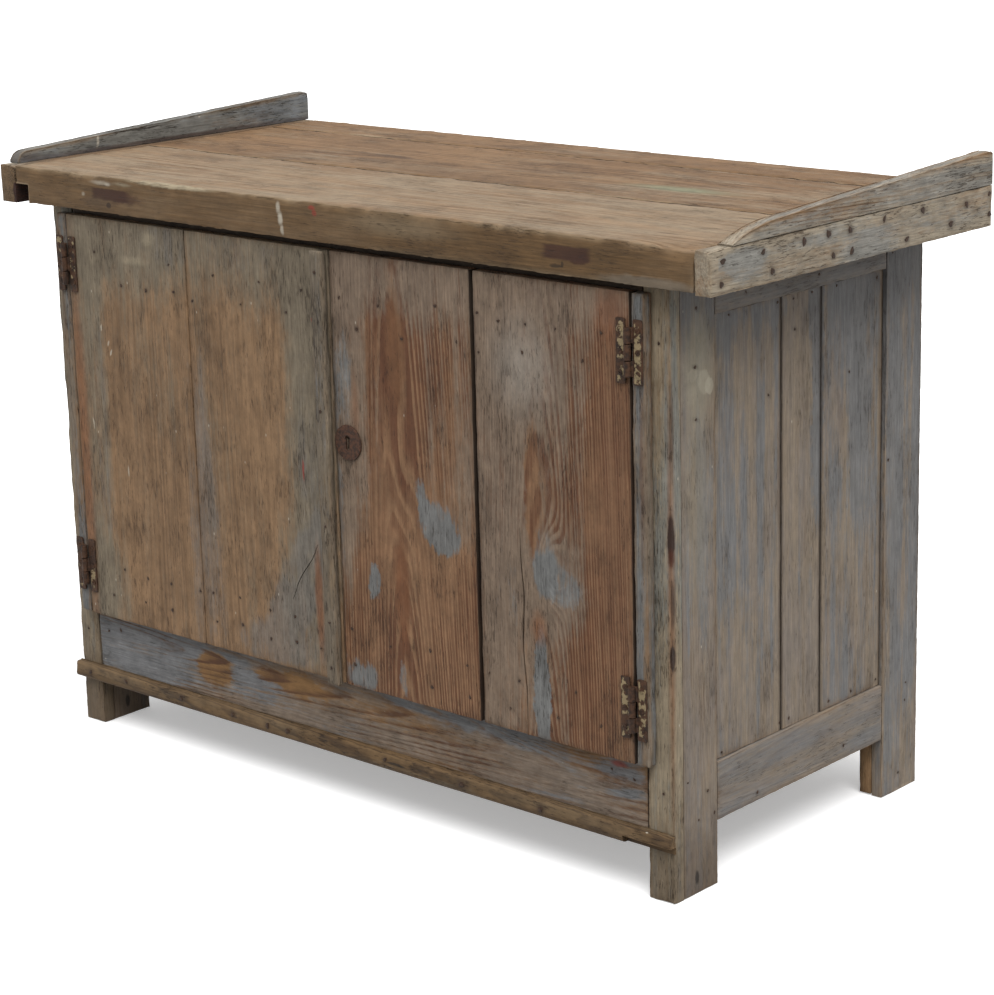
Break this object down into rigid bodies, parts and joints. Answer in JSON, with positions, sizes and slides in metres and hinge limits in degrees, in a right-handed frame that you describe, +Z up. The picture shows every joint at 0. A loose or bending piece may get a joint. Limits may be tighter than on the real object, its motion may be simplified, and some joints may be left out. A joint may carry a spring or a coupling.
{
  "type": "buffet cabinet",
  "caption": "Low weathered plank sideboard with an overhanging top, tapered end galleries, framed sides on short legs and hinged overlay doors with a box lock.",
  "frame": {"origin": "centre of the bounding box, on the floor under the feet", "axes": "+X along the front towards the lock door's hinges, -Y out of the doors, +Z up"},
  "size_m": [1.284, 0.6004, 0.8743],
  "materials": {
    "worn_top": "worn, grey-brown, dry",
    "blue_grey_paint": "old blue-grey paint, worn through",
    "worn_door": "brown wood with paint remains",
    "bare_pine": "unpainted, dry",
    "rusty_iron": "rusted, with paint flakes"
  },
  "bodies": {
    "carcass": {"top_board_front": "worn_top", "top_board_middle": "worn_top", "top_board_rear": "worn_top", "end_cap_left": "worn_top", "end_cap_right": "worn_top", "gallery_left": "blue_grey_paint", "gallery_right": "blue_grey_paint", "front_stile_left": "blue_grey_paint", "front_stile_right": "blue_grey_paint", "front_post_left": "blue_grey_paint", "front_post_right": "blue_grey_paint", "rear_side_stile_left": "blue_grey_paint", "rear_side_stile_right": "blue_grey_paint", "rear_post_left": "bare_pine", "rear_post_right": "bare_pine", "side_top_rail_left": "blue_grey_paint", "side_top_rail_right": "blue_grey_paint", "side_bottom_rail_left": "blue_grey_paint", "side_bottom_rail_right": "blue_grey_paint", "side_board_left_1": "blue_grey_paint", "side_board_left_2": "blue_grey_paint", "side_board_left_3": "blue_grey_paint", "side_board_right_1": "blue_grey_paint", "side_board_right_2": "blue_grey_paint", "side_board_right_3": "blue_grey_paint", "front_top_rail": "blue_grey_paint", "front_bottom_rail": "blue_grey_paint", "base_moulding": "worn_top", "back_board_1": "bare_pine", "back_board_2": "bare_pine", "back_board_3": "bare_pine", "floor_board_1": "bare_pine", "floor_board_2": "bare_pine", "shelf_board_1": "bare_pine", "shelf_board_2": "bare_pine", "shelf_cleat_left": "bare_pine", "shelf_cleat_right": "bare_pine", "hinge_strip_left": "blue_grey_paint", "hinge_strip_right": "blue_grey_paint", "hinge_left_upper_frame_leaf": "rusty_iron", "hinge_left_lower_frame_leaf": "rusty_iron", "hinge_right_upper_frame_leaf": "rusty_iron", "hinge_right_lower_frame_leaf": "rusty_iron"},
    "left_door": {"left_door_board_outer": "worn_door", "left_door_board_inner": "worn_door", "left_door_ledge_top": "bare_pine", "left_door_ledge_bottom": "bare_pine", "cover_strip": "worn_door", "hinge_left_upper_door_leaf": "rusty_iron", "hinge_left_lower_door_leaf": "rusty_iron"},
    "right_door": {"right_door_board_outer": "worn_door", "right_door_board_inner": "worn_door", "right_door_ledge_top": "bare_pine", "right_door_ledge_bottom": "bare_pine", "escutcheon": "rusty_iron", "lock_case": "rusty_iron", "hinge_right_upper_door_leaf": "rusty_iron", "hinge_right_lower_door_leaf": "rusty_iron"},
    "lock_bolt": {"lock_bolt": "rusty_iron"},
    "turn_button": {"turn_button": "bare_pine"}
  },
  "joints": [
    {"name": "left_door_hinge", "type": "hinge", "parent": "carcass", "child": "left_door", "pos_m": [-0.5142, -0.29355, 0.46], "axis": [0, 0, -1], "range_deg": [0, 165]},
    {"name": "right_door_hinge", "type": "hinge", "parent": "carcass", "child": "right_door", "pos_m": [0.5142, -0.29355, 0.46], "axis": [0, 0, 1], "range_deg": [0, 165]},
    {"name": "lock_bolt_slide", "type": "slide", "parent": "right_door", "child": "lock_bolt", "axis": [-1, 0, 0], "range_m": [0, 0.012]},
    {"name": "turn_button_pivot", "type": "hinge", "parent": "left_door", "child": "turn_button", "pos_m": [-0.0636, -0.24315, 0.695], "axis": [0, 1, 0], "range_deg": [0, 90]}
  ]
}
